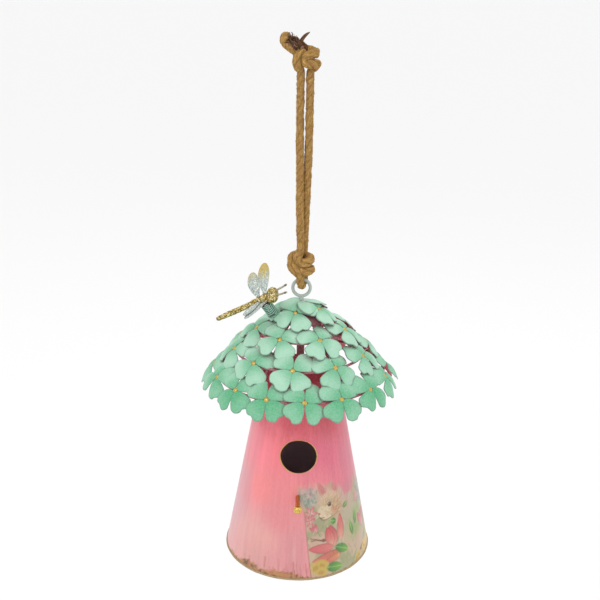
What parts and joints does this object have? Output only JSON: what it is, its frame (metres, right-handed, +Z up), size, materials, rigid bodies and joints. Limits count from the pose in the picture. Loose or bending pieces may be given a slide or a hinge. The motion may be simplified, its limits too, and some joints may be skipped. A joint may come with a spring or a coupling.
{
  "type": "hanging birdhouse",
  "caption": "Tapered sheet-metal birdhouse under a canopy of stamped metal flowers, hung by a steel eye from a knotted jute rope, with a perch and a dragonfly on a coil spring.",
  "frame": {"origin": "the point where the rope loop sits on its hook, in the crotch between the two strands just under the upper knot", "axes": "+Z up along the hanging line, -Y out of the entrance hole, +X to the entrance's right as seen from the front"},
  "size_m": [0.1817, 0.1817, 0.491],
  "materials": {
    "rope": "twisted golden-tan jute, matt and fibrous",
    "rope_ends": "frayed and darkened rope ends, matt",
    "ring_steel": "grey-green paint over steel, satin",
    "frame_crimson": "crimson-pink spray paint, satin, as under the flowers",
    "petal_mint": "mint-green paint shaded darker towards the centres, satin, crimson-pink below",
    "rivet_gold": "gold, semi-polished",
    "wall_pink": "hand-painted pink, brushed, gold-rust wear at the foot",
    "paper": "pasted printed paper under varnish, satin",
    "roof_pink": "pink paint with a bare edge",
    "steel": "plain zinc-plated",
    "floor_grey": "grey primer, matt",
    "perch_brass": "antique gold",
    "spring_green": "dark green paint over spring steel",
    "fly_gold": "gold glitter paint",
    "wing_silver": "silver-blue glitter paint with gold tips"
  },
  "bodies": {
    "rope": {"upper_knot": "rope", "rope_tails": "rope_ends", "rope_strands": "rope"},
    "knot": {"lower_knot": "rope", "rope_bight": "rope"},
    "house": {"hanger_rod": "ring_steel", "crown_plate": "frame_crimson", "spacer_tube": "frame_crimson", "inner_roof": "roof_pink", "rod_washer": "steel", "rod_nut": "steel", "canopy_ribs": "frame_crimson", "upper_hoop": "frame_crimson", "middle_hoop": "frame_crimson", "rim_hoop": "frame_crimson", "crown_flowers": "petal_mint", "upper_flowers": "petal_mint", "middle_flowers": "petal_mint", "rim_flowers": "petal_mint", "flower_rivets": "rivet_gold", "body_shell": "wall_pink", "picture_wrap": "paper", "floor_plate": "floor_grey", "cover_rivet": "steel", "perch_peg": "perch_brass", "perch_ball": "perch_brass", "perch_nut": "steel", "spring_seat": "spring_green", "spring": "spring_green"},
    "dragonfly": {"dragonfly_tail": "fly_gold", "dragonfly_thorax": "fly_gold", "dragonfly_head": "fly_gold", "front_wings": "wing_silver", "hind_wings": "wing_silver", "antennae": "fly_gold"},
    "clean_out": {"clean_out_cover": "floor_grey"}
  },
  "joints": [
    {"name": "rope_flex", "type": "hinge", "parent": "rope", "child": "knot", "pos_m": [0, 0, -0.156], "axis": [0, 1, 0], "range_deg": [-20, 20], "deforming": ["rope_strands"]},
    {"name": "house_rock", "type": "hinge", "parent": "knot", "child": "house", "pos_m": [0, 0, -0.18165], "axis": [1, 0, 0], "range_deg": [-30, 30]},
    {"name": "dragonfly_wobble", "type": "hinge", "parent": "house", "child": "dragonfly", "pos_m": [-0.0271, -0.0152, -0.2085], "axis": [0, 1, 0], "range_deg": [-12, 12], "stiffness_Nm_per_rad": 0.12, "deforming": ["spring"]},
    {"name": "cover_swivel", "type": "hinge", "parent": "house", "child": "clean_out", "pos_m": [0.006, 0, -0.4532], "axis": [0, 0, 1], "range_deg": [0, 150]}
  ]
}
